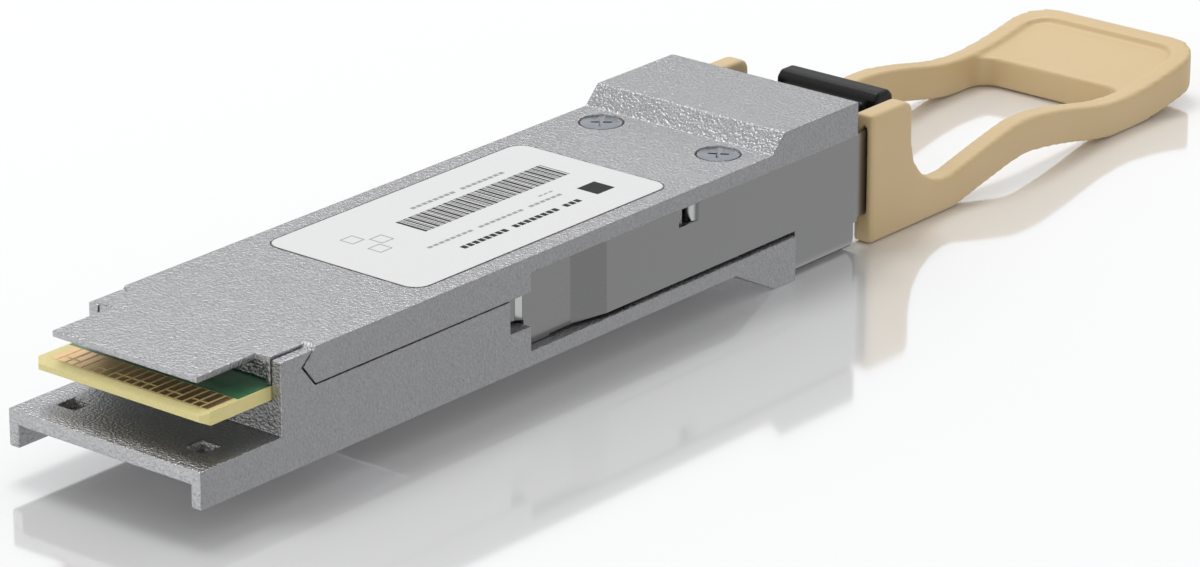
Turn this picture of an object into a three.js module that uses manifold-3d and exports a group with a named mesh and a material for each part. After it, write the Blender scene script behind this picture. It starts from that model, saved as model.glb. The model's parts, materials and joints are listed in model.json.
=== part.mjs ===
// Pluggable fibre-optic transceiver module with a pull-tab release, in millimetres.
//
// Inside this file x runs across the module, y from the nose to the pull tab, and z is
// measured up from the body's flat top face. The outer group then moves everything so
// that the origin is under the middle of the whole object, level with its lowest face.

import * as THREE from 'three';
import { mergeVertices } from 'three/addons/utils/BufferGeometryUtils.js';
import Module from 'manifold-3d';

const wasm = await Module();
wasm.setup();

// ---------------------------------------------------------------- driving dimensions

const BODY_HALF = 9.175;
const BODY_DEPTH = 8.5;
const BODY_END = 73.3;
const TAB_END = 121.75;
const FOOT_DEPTH = 10.9;
const HEAD_RISE = 1.45;
const GAP = 0.05;
const SLIDE_TRAVEL = 2.5;

const SKIRT_Z = -2.8;
const SEAM_Z = -1.33;
const CEILING_Z = -0.95;
const CAVITY_FLOOR_Z = -7.4;
const FRONT_WALL_Y = 8.15;
const SKIRT_START_Y = 11.8;
const POCKET_Y = 34.55;
const WEDGE_END_Y = 65.65;
const RAIL_TOP_Z = -7.33;

const WALL_INNER = 8.25;
const NARROW_INNER = 6.3;
const NARROW_Y = 30.8;
const CAVITY_END_Y = 57.5;
const POCKET_FLOOR = 7.85;
const HEAD_CORE = { half: 8.45, bottom: -10.35, corner: 0.75, end: 72.9 };
const FIBRE_DUCT = { half: 3.9, bottom: -6.4, end: 64.5 };

const NOSE_PLATE = { half: 6.89, start: 2.26, thick: 0.51 };
const SHELF = { top: -5.66, thick: 1.15, legWide: 0.95, recessEnd: 22 };
const PIT = { across: [5.25, 6.95], along: [2.6, 4.3], deep: 0.7 };
const BELLY_RAMP = [58.3, 63.04];

const BOARD = {
  top: -2.19,
  thick: 1.0,
  half: 8.15,
  rearHalf: 6.2,
  start: 1.6,
  shoulder: 30.4,
  end: 56.5,
  corner: 0.5,
  leadLong: 0.6,
  leadDeep: 0.28,
};
const BOARD_BOTTOM = BOARD.top - BOARD.thick;

const SCREW = { x: 5.72, y: 60.35, headR: 1.65, shankR: 0.8, headDeep: 0.75, length: 6.2 };
const LABEL = { half: 7.35, start: 24.3, end: 52.55, radius: 1.3, thick: 0.1, recess: 0.12, rim: 0.1 };

const PORT = { z: -4.15, halfWide: 6.25, halfTall: 3.75, outerHalfWide: 7.05, outerHalfTall: 4.45 };
const PORT_Y = { gasket: 64.2, start: 64.9, mouth: 66.5 };
const SHEET = { thick: 0.3, top: -1.42, armBottom: -7.1, wrapBottom: -10.7, wrapCorner: 1.05 };
const SHEET_OUTER = { tip: 7.85, front: 8.22, rear: 8.85, tongue: 8.3 };
const SHEET_Y = { tip: 32.5, front: 34.75, wrap: 65.9, wrapEnd: 73.27, rear: 73.83, tongueEnd: 77 };
const JOG_Y = [40, 43.4];
const TONGUE_Z = [-8.5, -1.6];
const TIP_Z = [-5.2, -2.95];
const TIP_POCKET = { floor: 7.5, front: 32.27, bottom: -5.39 };
const STOP = { start: 35.6, end: 37.65, bottom: RAIL_TOP_Z + GAP };
const WINDOW = { start: 51.8, end: 54.25, bottom: -2.85 };
const FOLD = { radius: 0.9, steps: 6, end: 7.2 };
const SPRING = { x: 7.78, z: -2.15, coilR: 0.5, wireR: 0.1, start: 53.9, end: 61.6, turns: 9 };
const GASKET = { across: [6.7, 7.2], along: [36, 51.5], deep: 0.6 };
const CHANNEL = { floor: 7.1, bottom: -2.95, start: 52.7, end: 61.7 };

const TAB = { outer: 9.0, inner: 7.25, front: 75.35, cheekTop: -0.35, cheekEnd: 80.65, bottom: -10.85 };
const STRAP = { start: 85.5, thick: 3.0, cornerR: 3.35 };
const PAD = { start: 112.4, end: TAB_END - 1.5, recess: 0.42, filletR: 1.7, cornerR: 2 };

// ---------------------------------------------------------------- finishes

const FINISH = {
  casting: new THREE.MeshStandardMaterial({ color: 0xb4b6b8, roughness: 0.5, metalness: 0.9 }),
  sheet: new THREE.MeshStandardMaterial({ color: 0x9b9d9f, roughness: 0.3, metalness: 0.95 }),
  screw: new THREE.MeshStandardMaterial({ color: 0xb9bcc2, roughness: 0.28, metalness: 0.95 }),
  spring: new THREE.MeshStandardMaterial({ color: 0x8f9194, roughness: 0.3, metalness: 1.0 }),
  tab: new THREE.MeshStandardMaterial({ color: 0xd6bd8f, roughness: 0.5, metalness: 0.0 }),
  board: new THREE.MeshStandardMaterial({ color: 0x2f6a48, roughness: 0.45, metalness: 0.0 }),
  paper: new THREE.MeshStandardMaterial({ color: 0xf2f2f0, roughness: 0.55, metalness: 0.0 }),
  chip: new THREE.MeshStandardMaterial({ color: 0x1c1d1f, roughness: 0.5, metalness: 0.0 }),
  die: new THREE.MeshStandardMaterial({ color: 0x55586a, roughness: 0.2, metalness: 0.6 }),
  lens: new THREE.MeshStandardMaterial({ color: 0xb9782e, roughness: 0.15, metalness: 0.0 }),
  fibre: new THREE.MeshStandardMaterial({ color: 0x7fc7c9, roughness: 0.35, metalness: 0.0 }),
  ferrule: new THREE.MeshStandardMaterial({ color: 0x2a2b30, roughness: 0.4, metalness: 0.0 }),
  receptacle: new THREE.MeshStandardMaterial({ color: 0x202124, roughness: 0.5, metalness: 0.0 }),
  rubber: new THREE.MeshStandardMaterial({ color: 0x232323, roughness: 0.6, metalness: 0.0 }),
  gasket: new THREE.MeshStandardMaterial({ color: 0x55575a, roughness: 0.8, metalness: 0.1 }),
  thermal: new THREE.MeshStandardMaterial({ color: 0x9fb6c9, roughness: 0.85, metalness: 0.0 }),
  ceramic: new THREE.MeshStandardMaterial({ color: 0xa98f6c, roughness: 0.5, metalness: 0.0 }),
};

// ---------------------------------------------------------------- solid helpers

const X = new THREE.Vector3(1, 0, 0);
const Y = new THREE.Vector3(0, 1, 0);
const Z = new THREE.Vector3(0, 0, 1);
const SIDE_VIEW = new THREE.Matrix4().makeBasis(Y, Z, X);
const END_VIEW = new THREE.Matrix4().makeBasis(Z, X, Y);

function toSolid(geometry) {
  geometry.deleteAttribute('normal');
  geometry.deleteAttribute('uv');
  const merged = mergeVertices(geometry, 1e-4);
  const vertProperties = new Float32Array(merged.attributes.position.array);
  const triVerts = new Uint32Array(merged.index.array);
  return new wasm.Manifold(new wasm.Mesh({ numProp: 3, vertProperties, triVerts }));
}

function join(first, ...others) {
  return others.reduce((sum, other) => sum.add(other), first);
}

function cut(first, ...others) {
  return others.reduce((rest, other) => rest.subtract(other), first);
}

// A box between three pairs of limits.
function block([x0, x1], [y0, y1], [z0, z1]) {
  const geometry = new THREE.BoxGeometry(x1 - x0, y1 - y0, z1 - z0);
  geometry.translate((x0 + x1) / 2, (y0 + y1) / 2, (z0 + z1) / 2);
  return toSolid(geometry);
}

// A box centred across the module.
function midBlock(half, ySpan, zSpan) {
  return block([-half, half], ySpan, zSpan);
}

// A box centred across the module and on the port's axis.
function portBlock(half, halfTall, ySpan) {
  return midBlock(half, ySpan, [PORT.z - halfTall, PORT.z + halfTall]);
}

// A box on the left (hand -1) or right (hand 1), from inner to outer distance.
function sideBlock(hand, [inner, outer], ySpan, zSpan) {
  const xSpan = hand > 0 ? [inner, outer] : [-outer, -inner];
  return block(xSpan, ySpan, zSpan);
}

function polygon(points) {
  return new THREE.Shape(points.map(([u, v]) => new THREE.Vector2(u, v)));
}

function roundedRectangle([u0, u1], [v0, v1], radius) {
  const shape = new THREE.Shape();
  shape.moveTo(u0 + radius, v0);
  shape.absarc(u1 - radius, v0 + radius, radius, -Math.PI / 2, 0, false);
  shape.absarc(u1 - radius, v1 - radius, radius, 0, Math.PI / 2, false);
  shape.absarc(u0 + radius, v1 - radius, radius, Math.PI / 2, Math.PI, false);
  shape.absarc(u0 + radius, v0 + radius, radius, Math.PI, 1.5 * Math.PI, false);
  return shape;
}

function extrude(shape, [from, to], view) {
  const options = { depth: to - from, bevelEnabled: false, curveSegments: 5 };
  const geometry = new THREE.ExtrudeGeometry(shape, options);
  geometry.translate(0, 0, from);
  if (view) geometry.applyMatrix4(view);
  return toSolid(geometry);
}

// A side outline of [y, z] points pushed across x.
function sideProfile(shape, xSpan) {
  return extrude(shape, xSpan, SIDE_VIEW);
}

// A plan outline of [x, y] points pushed up z.
function planProfile(shape, zSpan) {
  return extrude(shape, zSpan, null);
}

// A cross-section of [z, x] points pushed along y.
function endProfile(shape, ySpan) {
  return extrude(shape, ySpan, END_VIEW);
}

// A turned piece standing on z, from [radius, z] points listed upwards.
function turned(points, [x, y]) {
  const profile = points.map(([r, z]) => new THREE.Vector2(r, z));
  const geometry = new THREE.LatheGeometry(profile, 20);
  geometry.rotateX(Math.PI / 2);
  geometry.translate(x, y, 0);
  return toSolid(geometry);
}

// A round pin along y.
function pinAlongY(radius, [x, z], [y0, y1]) {
  const geometry = new THREE.CylinderGeometry(radius, radius, y1 - y0, 12);
  geometry.translate(x, (y0 + y1) / 2, z);
  return toSolid(geometry);
}

const pieces = new THREE.Group();
const SIDES = [['left', -1], ['right', 1]];

function addPiece(name, solid, finish) {
  const { vertProperties, triVerts } = solid.getMesh();
  const geometry = new THREE.BufferGeometry();
  geometry.setAttribute('position', new THREE.BufferAttribute(vertProperties, 3));
  geometry.setIndex(new THREE.BufferAttribute(triVerts, 1));
  geometry.computeVertexNormals();
  const mesh = new THREE.Mesh(geometry, finish);
  mesh.name = name;
  pieces.add(mesh);
}

// ---------------------------------------------------------------- housing

// The outline shared by every screw hole and screw head, from [radius, z].
function screwHoleProfile(clearance) {
  return [
    [0, -SCREW.length - clearance],
    [SCREW.shankR + clearance, -SCREW.length - clearance],
    [SCREW.shankR + clearance, -SCREW.headDeep - clearance],
    [SCREW.headR + clearance, -0.12],
    [SCREW.headR + clearance, 0.5],
    [0, 0.5],
  ];
}

function screwHoles() {
  return SIDES.map(([, hand]) => turned(screwHoleProfile(0.1), [hand * SCREW.x, SCREW.y]));
}

function receptaclePocket() {
  return portBlock(PORT.outerHalfWide + GAP, PORT.outerHalfTall + GAP, [PORT_Y.gasket - GAP, BODY_END + 1]);
}

function gasketGroove(hand) {
  const [inner, outer] = GASKET.across;
  const [front, back] = GASKET.along;
  const ySpan = [front - GAP, back + GAP];
  const zSpan = [SEAM_Z - GASKET.deep - GAP, 1];
  return sideBlock(hand, [inner - GAP, outer + GAP], ySpan, zSpan);
}

const COVER_INNER = WALL_INNER - 0.1;
const SKIRT_TIP = [10.42, -1.22];
const SKIRT_FOOT_Y = 11.65;
const EAR = { seam: 0.14, drop: 0.2 };
// The seam leans forwards as it goes down, so a lower ear top also starts further forward.
const EAR_LEAN = (SKIRT_START_Y - SKIRT_TIP[0]) / -SKIRT_TIP[1];
const EAR_END_Y = SKIRT_START_Y - EAR.seam - EAR.drop * EAR_LEAN;
const HEAD_RAMP = [62.6, 64.05];
const OPEN_BELOW = -4;

function topShell() {
  const cover = polygon([
    [SKIRT_START_Y, 0],
    SKIRT_TIP,
    [SKIRT_FOOT_Y, SKIRT_Z],
    [POCKET_Y, SKIRT_Z],
    [POCKET_Y, SEAM_Z],
    [BODY_END, SEAM_Z],
    [BODY_END, HEAD_RISE],
    [HEAD_RAMP[1], HEAD_RISE],
    [HEAD_RAMP[0], 0],
  ]);
  const hollow = [OPEN_BELOW, CEILING_Z];
  const lip = [BOARD.top + 0.06, -0.5];
  let shell = cut(
    sideProfile(cover, [-BODY_HALF, BODY_HALF]),
    midBlock(WALL_INNER, [FRONT_WALL_Y, NARROW_Y], hollow),
    midBlock(NARROW_INNER, [NARROW_Y - 1, CAVITY_END_Y], hollow),
    midBlock(FIBRE_DUCT.half, [CAVITY_END_Y - 1, FIBRE_DUCT.end], hollow),
  );
  shell = join(
    shell,
    midBlock(COVER_INNER, [FRONT_WALL_Y, 14], [CEILING_Z, 0]),
    midBlock(NOSE_PLATE.half, [NOSE_PLATE.start, 9], [-NOSE_PLATE.thick, 0]),
    midBlock(COVER_INNER, [8.8, 9.9], lip),
  );
  for (const [, hand] of SIDES) {
    shell = join(shell, sideBlock(hand, [COVER_INNER - 0.45, COVER_INNER], [FRONT_WALL_Y, 9.5], lip));
  }
  const rim = LABEL.rim;
  const labelArea = roundedRectangle(
    [-LABEL.half - rim, LABEL.half + rim],
    [LABEL.start - rim, LABEL.end + rim],
    LABEL.radius + rim,
  );
  return cut(shell, planProfile(labelArea, [-LABEL.recess, 1]), receptaclePocket(), ...screwHoles());
}

// The lower shell's openings for one of the slider's arms, its spring and its seam gasket.
// The pockets for the arm's inset tip and its jog are as long as their whole travel.
function sideOpenings(hand) {
  const zSpan = [RAIL_TOP_Z, 1];
  const jogSweep = [POCKET_Y, JOG_Y[1] + SLIDE_TRAVEL + 0.3];
  const tipSweep = [TIP_POCKET.front, SHEET_Y.front + SLIDE_TRAVEL + 0.1];
  return [
    sideBlock(hand, [POCKET_FLOOR, 12], jogSweep, zSpan),
    sideBlock(hand, [HEAD_CORE.half, 12], [JOG_Y[1], BODY_END + 1], zSpan),
    sideBlock(hand, [TIP_POCKET.floor, 12], tipSweep, [TIP_POCKET.bottom, SKIRT_Z]),
    sideBlock(hand, [CHANNEL.floor, 12], [CHANNEL.start, CHANNEL.end], [CHANNEL.bottom, 1]),
    gasketGroove(hand),
  ];
}

function bottomShell() {
  const outline = polygon([
    [0, -BODY_DEPTH],
    [BELLY_RAMP[0], -BODY_DEPTH],
    [BELLY_RAMP[1], -FOOT_DEPTH],
    [WEDGE_END_Y, -FOOT_DEPTH],
    [WEDGE_END_Y, SEAM_Z - GAP],
    [POCKET_Y + GAP, SEAM_Z - GAP],
    [POCKET_Y + GAP, SKIRT_Z - GAP],
    [SKIRT_FOOT_Y - GAP, SKIRT_Z - GAP],
    [SKIRT_TIP[0] - EAR.seam, SKIRT_TIP[1]],
    [EAR_END_Y, -EAR.drop],
    [FRONT_WALL_Y, -EAR.drop],
    [FRONT_WALL_Y, SHELF.top],
    [0, SHELF.top],
  ]);
  const { half, bottom, corner, end } = HEAD_CORE;
  const coreSpan = [WEDGE_END_Y - 1, end];
  const core = endProfile(roundedRectangle([bottom, SEAM_Z - GAP], [-half, half], corner), coreSpan);
  const coreTop = midBlock(half, coreSpan, [-3, SEAM_Z - GAP]);
  const shell = join(sideProfile(outline, [-BODY_HALF, BODY_HALF]), core, coreTop);

  const ledgeZ = BOARD_BOTTOM - 0.06;
  const ledgeInner = 7.4;
  const cavityStart = 9.6;
  const pitZ = [SHELF.top - PIT.deep, 0];
  const pits = SIDES.map(([, hand]) => sideBlock(hand, PIT.across, PIT.along, pitZ));
  return cut(
    shell,
    midBlock(BODY_HALF - SHELF.legWide, [-1, SHELF.recessEnd], [-9, SHELF.top - SHELF.thick]),
    midBlock(WALL_INNER, [6, NARROW_Y], [ledgeZ, 1]),
    midBlock(ledgeInner, [cavityStart, SHELF.recessEnd + 2], [SHELF.top, 1]),
    midBlock(ledgeInner, [SHELF.recessEnd + 1.2, NARROW_Y], [CAVITY_FLOOR_Z, 1]),
    midBlock(NARROW_INNER, [NARROW_Y - 1, CAVITY_END_Y], [CAVITY_FLOOR_Z, 1]),
    midBlock(FIBRE_DUCT.half, [CAVITY_END_Y - 1, FIBRE_DUCT.end], [FIBRE_DUCT.bottom, 1]),
    receptaclePocket(),
    ...pits,
    ...screwHoles(),
    ...SIDES.flatMap(([, hand]) => sideOpenings(hand)),
  );
}

// ---------------------------------------------------------------- fasteners and label

function coverScrew(hand) {
  const body = [
    [0, -SCREW.length],
    [SCREW.shankR, -SCREW.length],
    [SCREW.shankR, -SCREW.headDeep],
    [SCREW.headR, -0.14],
    [SCREW.headR, -0.03],
    [0, -0.03],
  ];
  const [x, y] = [hand * SCREW.x, SCREW.y];
  const long = 1.0;
  const thin = 0.16;
  return cut(
    turned(body, [x, y]),
    block([x - long, x + long], [y - thin, y + thin], [-0.5, 1]),
    block([x - thin, x + thin], [y - long, y + long], [-0.5, 1]),
  );
}

function label() {
  const outline = roundedRectangle([-LABEL.half, LABEL.half], [LABEL.start, LABEL.end], LABEL.radius);
  return planProfile(outline, [-LABEL.thick, -0.01]);
}

// ---------------------------------------------------------------- circuit board

function circuitBoard() {
  const { half, rearHalf, start, shoulder, end, corner, leadLong, leadDeep } = BOARD;
  const plan = polygon([
    [-half + corner, start],
    [half - corner, start],
    [half, start + corner],
    [half, shoulder],
    [rearHalf, shoulder],
    [rearHalf, end],
    [-rearHalf, end],
    [-rearHalf, shoulder],
    [-half, shoulder],
    [-half, start + corner],
  ]);
  const edge = polygon([
    [start, BOARD_BOTTOM + leadDeep],
    [start + leadLong, BOARD_BOTTOM],
    [end, BOARD_BOTTOM],
    [end, BOARD.top],
    [start + leadLong, BOARD.top],
    [start, BOARD.top - leadDeep],
  ]);
  return planProfile(plan, [BOARD_BOTTOM - 1, BOARD.top + 1]).intersect(sideProfile(edge, [-half, half]));
}

// A flat rectangular component, standing on the board's top or hanging under it.
function chip([x, y], [wide, long, tall], underneath = false) {
  const zSpan = underneath
    ? [BOARD_BOTTOM - GAP - tall, BOARD_BOTTOM - GAP]
    : [BOARD.top + GAP, BOARD.top + GAP + tall];
  return block([x - wide / 2, x + wide / 2], [y - long / 2, y + long / 2], zSpan);
}

// ---------------------------------------------------------------- optics

const OPTICS = { start: 47.2, end: 53.6, half: 3.6, tall: 2.1 };
const FERRULE = { start: 61.5, end: 69.5, half: 3.2, halfTall: 1.25, pinX: 2.3, pinR: 0.35 };
const KEEPER = { start: 59.8, end: 61.3 };
const RIBBON = { half: 1.6, thick: 0.3 };

function lensBlock() {
  const bottom = BOARD_BOTTOM - GAP - OPTICS.tall;
  const side = polygon([
    [OPTICS.start, BOARD_BOTTOM - GAP],
    [OPTICS.start, bottom + 0.8],
    [OPTICS.start + 0.8, bottom],
    [OPTICS.end, bottom],
    [OPTICS.end, BOARD_BOTTOM - GAP],
  ]);
  const chipRoom = block([-2.6, 2.6], [48.4, 52.2], [BOARD_BOTTOM - 0.75, BOARD_BOTTOM + 1]);
  return cut(sideProfile(side, [-OPTICS.half, OPTICS.half]), chipRoom);
}

// A spring-steel strap that presses the lens block against the board.
function lensClip() {
  const low = BOARD_BOTTOM - GAP - OPTICS.tall - GAP;
  const high = BOARD_BOTTOM - GAP;
  const inner = OPTICS.half + GAP;
  const outer = inner + 0.25;
  const section = polygon([
    [high, -outer],
    [high, -inner],
    [low, -inner],
    [low, inner],
    [high, inner],
    [high, outer],
    [low - 0.25, outer],
    [low - 0.25, -outer],
  ]);
  return endProfile(section, [49.6, 51.6]);
}

function pinHoles() {
  const span = [KEEPER.start - 1, FERRULE.end + 1];
  return SIDES.map(([, hand]) => pinAlongY(FERRULE.pinR + 0.06, [hand * FERRULE.pinX, PORT.z], span));
}

function mtFerrule() {
  const { start, end, half, halfTall } = FERRULE;
  return cut(portBlock(half, halfTall, [start, end]), ...pinHoles());
}

function pinKeeper() {
  const { half, halfTall } = FERRULE;
  const yoke = portBlock(half, halfTall, [KEEPER.start, KEEPER.end]);
  const ribbonRoom = midBlock(RIBBON.half + 0.15, [KEEPER.start - 1, KEEPER.end + 1], [PORT.z - 0.3, 2]);
  return cut(yoke, ribbonRoom, ...pinHoles());
}

function fibreRibbon() {
  return portBlock(RIBBON.half, RIBBON.thick / 2, [OPTICS.end + GAP, FERRULE.start - GAP]);
}

function receptacle() {
  const body = portBlock(PORT.outerHalfWide, PORT.outerHalfTall, [PORT_Y.start, BODY_END - 0.1]);
  const mouth = roundedRectangle(
    [PORT.z - PORT.halfTall, PORT.z + PORT.halfTall],
    [-PORT.halfWide, PORT.halfWide],
    0.9,
  );
  const keyway = midBlock(1.6, [PORT_Y.mouth, BODY_END + 1], [PORT.z, PORT.z + PORT.halfTall + 0.35]);
  const ferruleHole = portBlock(FERRULE.half + 0.15, FERRULE.halfTall + 0.15, [PORT_Y.start - 1, BODY_END]);
  return cut(body, endProfile(mouth, [PORT_Y.mouth, BODY_END + 1]), keyway, ferruleHole);
}

function portGasket() {
  const pad = portBlock(PORT.outerHalfWide, PORT.outerHalfTall, [PORT_Y.gasket, PORT_Y.start - GAP]);
  const holeSpan = [PORT_Y.gasket - 1, PORT_Y.start + 1];
  return cut(pad, portBlock(FERRULE.half + 0.3, FERRULE.halfTall + 0.3, holeSpan));
}

const PLUG = {
  start: 69.9,
  neckHalf: 3.9,
  gripHalf: 4.9,
  gripStart: 81.1,
  end: 83.5,
  halfTall: 3.15,
  bevel: 0.5,
};

function dustPlug() {
  const { start, neckHalf, gripHalf, gripStart, end, halfTall, bevel } = PLUG;
  const insertTall = PORT.halfTall - 0.15;
  const insertHalf = PORT.halfWide - 0.15;
  const insert = roundedRectangle([PORT.z - insertTall, PORT.z + insertTall], [-insertHalf, insertHalf], 0.8);
  const low = PORT.z - halfTall;
  const high = PORT.z + halfTall;
  const grip = polygon([
    [gripStart, low + bevel],
    [gripStart + bevel, low],
    [end - bevel, low],
    [end, low + bevel],
    [end, high - bevel],
    [end - bevel, high],
    [gripStart + bevel, high],
    [gripStart, high - bevel],
  ]);
  const body = join(
    endProfile(insert, [start, BODY_END + 0.4]),
    portBlock(neckHalf, halfTall - 0.9, [BODY_END, gripStart + bevel]),
    sideProfile(grip, [-gripHalf, gripHalf]),
  );
  const pinRoom = portBlock(FERRULE.half + 0.2, FERRULE.halfTall + 0.25, [start - 1, FERRULE.end + 2.8]);
  return cut(body, pinRoom);
}

// ---------------------------------------------------------------- release slider and springs

// The slider's side arm in plan, as outer distances from the middle against y.
function armPlan(hand) {
  const outer = [
    [SHEET_OUTER.tip, SHEET_Y.tip],
    [SHEET_OUTER.tip, SHEET_Y.front - 0.55],
    [SHEET_OUTER.front, SHEET_Y.front - 0.1],
    [SHEET_OUTER.front, JOG_Y[0]],
    [SHEET_OUTER.rear, JOG_Y[1]],
    [SHEET_OUTER.rear, SHEET_Y.rear - 0.1],
    [SHEET_OUTER.tongue, SHEET_Y.rear + 0.2],
    [SHEET_OUTER.tongue, SHEET_Y.tongueEnd],
  ];
  const inner = outer.map(([x, y]) => [x - SHEET.thick, y]).reverse();
  return polygon([...outer, ...inner].map(([x, y]) => [hand * x, y]));
}

// The same arm from the side: a narrow tip, a small stop tab, the spring window and a tongue.
function armSide() {
  const { top, armBottom, wrapBottom } = SHEET;
  const { tip, front, wrap, wrapEnd, rear, tongueEnd } = SHEET_Y;
  return polygon([
    [tip, TIP_Z[0]],
    [front, TIP_Z[0]],
    [front, armBottom],
    [STOP.start, armBottom],
    [STOP.start, STOP.bottom],
    [STOP.end, STOP.bottom],
    [STOP.end, armBottom],
    [wrap, armBottom],
    [wrap, wrapBottom + SHEET.wrapCorner],
    [wrapEnd, wrapBottom + SHEET.wrapCorner],
    [wrapEnd, TONGUE_Z[0]],
    [tongueEnd, TONGUE_Z[0]],
    [tongueEnd, TONGUE_Z[1]],
    [rear, TONGUE_Z[1]],
    [rear, top],
    [WINDOW.end, top],
    [WINDOW.end, WINDOW.bottom],
    [WINDOW.start, WINDOW.bottom],
    [WINDOW.start, top],
    [front, top],
    [front, TIP_Z[1]],
    [tip, TIP_Z[1]],
  ]);
}

// The tab rolled inwards from the window's rear edge, in plan. The spring pushes on it.
function springTabPlan(hand) {
  const { radius, steps, end } = FOLD;
  const x = SHEET_OUTER.rear - radius;
  const y = WINDOW.end;
  const arc = (r) => Array.from({ length: steps + 1 }, (_, i) => {
    const angle = (Math.PI / 2) * (i / steps);
    return [x + r * Math.cos(angle), y - r * Math.sin(angle)];
  });
  const outer = [[x + radius, y + 0.1], ...arc(radius), [end, y - radius]];
  const innerRadius = radius - SHEET.thick;
  const inner = [[x + innerRadius, y + 0.1], ...arc(innerRadius), [end, y - innerRadius]].reverse();
  return polygon([...outer, ...inner].map(([across, along]) => [hand * across, along]));
}

function latchSlider() {
  const { thick, top, wrapBottom, wrapCorner } = SHEET;
  const outer = SHEET_OUTER.rear;
  const inner = outer - thick;
  const above = 4;
  const outerSection = roundedRectangle([wrapBottom, above], [-outer, outer], wrapCorner);
  const innerSection = roundedRectangle([wrapBottom + thick, above + 1], [-inner, inner], wrapCorner - thick);
  let slider = cut(
    endProfile(outerSection, [SHEET_Y.wrap, SHEET_Y.wrapEnd]),
    endProfile(innerSection, [SHEET_Y.wrap - 1, SHEET_Y.wrapEnd + 1]),
    midBlock(outer + 1, [SHEET_Y.wrap - 1, SHEET_Y.wrapEnd + 1], [WINDOW.bottom, above + 1]),
  );
  for (const [, hand] of SIDES) {
    const reach = hand > 0 ? [0, outer + 1] : [-outer - 1, 0];
    const arm = planProfile(armPlan(hand), [wrapBottom, 0]).intersect(sideProfile(armSide(), reach));
    const springTab = planProfile(springTabPlan(hand), [WINDOW.bottom, top]);
    slider = join(slider, arm, springTab);
  }
  return slider;
}

class Coil extends THREE.Curve {
  constructor({ coilR, start, end, turns }) {
    super();
    Object.assign(this, { coilR, start, end, turns });
  }

  getPoint(t, target = new THREE.Vector3()) {
    const angle = 2 * Math.PI * this.turns * t;
    const y = this.start + (this.end - this.start) * t;
    return target.set(this.coilR * Math.cos(angle), y, this.coilR * Math.sin(angle));
  }
}

function returnSpring(hand) {
  const inset = SPRING.wireR + 0.01;
  const path = new Coil({ ...SPRING, start: SPRING.start + inset, end: SPRING.end - inset });
  const corners = 5;
  const section = [];
  for (let i = 0; i < corners; i += 1) {
    const angle = (2 * Math.PI * i) / corners;
    section.push([SPRING.wireR * Math.cos(angle), SPRING.wireR * Math.sin(angle)]);
  }
  const options = { steps: SPRING.turns * 10, extrudePath: path, bevelEnabled: false };
  const geometry = new THREE.ExtrudeGeometry(polygon(section), options);
  geometry.translate(hand * SPRING.x, 0, SPRING.z);
  return toSolid(geometry);
}

// ---------------------------------------------------------------- pull tab

// The strap's upper line, as [y, z]: up over a crest, down through a dip and up to the end.
const STRAP_TOP = new THREE.SplineCurve(
  [
    [86, -7.95],
    [91.5, -6.75],
    [96, -6.04],
    [101, -6.55],
    [107, -7.68],
    [111.5, -7.88],
    [116.5, -7.35],
    [TAB_END, -6.3],
  ].map(([y, z]) => new THREE.Vector2(y, z)),
);
const STRAP_STEPS = 28;

function strapLine(drop) {
  return STRAP_TOP.getPoints(STRAP_STEPS).map(({ x, y }) => [x, y - drop]);
}

// The tab from the side: an upright cheek, the scooped neck behind it and the waved strap.
function tabSide() {
  const { front, cheekTop, cheekEnd, bottom } = TAB;
  const side = new THREE.Shape();
  side.moveTo(front, bottom);
  side.lineTo(STRAP.start, bottom);
  strapLine(STRAP.thick).forEach(([y, z]) => side.lineTo(y, Math.max(z, bottom)));
  strapLine(0).reverse().forEach(([y, z]) => side.lineTo(y, z));
  side.bezierCurveTo(84.2, -8.3, cheekEnd, -7.0, cheekEnd, -4.0);
  side.lineTo(cheekEnd, cheekTop - 1);
  side.absarc(cheekEnd - 1, cheekTop - 1, 1, 0, Math.PI / 2, false);
  side.lineTo(front, cheekTop);
  return side;
}

function pullTab() {
  const { outer, inner, front } = TAB;
  const deep = [-12, 1];
  const plan = roundedRectangle([-outer, outer], [front - 10, TAB_END], STRAP.cornerR);
  const loop = roundedRectangle([-inner, inner], [front - 10, PAD.start], PAD.filletR);
  const padArea = roundedRectangle([-inner, inner], [PAD.start - 5, PAD.end], PAD.cornerR);
  const abovePad = new THREE.Shape();
  abovePad.moveTo(STRAP_TOP.points[0].x, 2);
  strapLine(PAD.recess).forEach(([y, z]) => abovePad.lineTo(y, z));
  abovePad.lineTo(TAB_END, 2);
  const padRecess = planProfile(padArea, deep).intersect(sideProfile(abovePad, [-outer, outer]));
  const { thick } = SHEET;
  const grooves = SIDES.map(([, hand]) => sideBlock(
    hand,
    [SHEET_OUTER.tongue - thick - 0.2, SHEET_OUTER.tongue + GAP],
    [front - 1, SHEET_Y.tongueEnd + GAP],
    [TONGUE_Z[0] - GAP, TONGUE_Z[1] + 0.3],
  ));
  const solid = sideProfile(tabSide(), [-outer, outer]).intersect(planProfile(plan, deep));
  return cut(solid, planProfile(loop, deep), padRecess, ...grooves);
}

// ---------------------------------------------------------------- assembly

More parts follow.
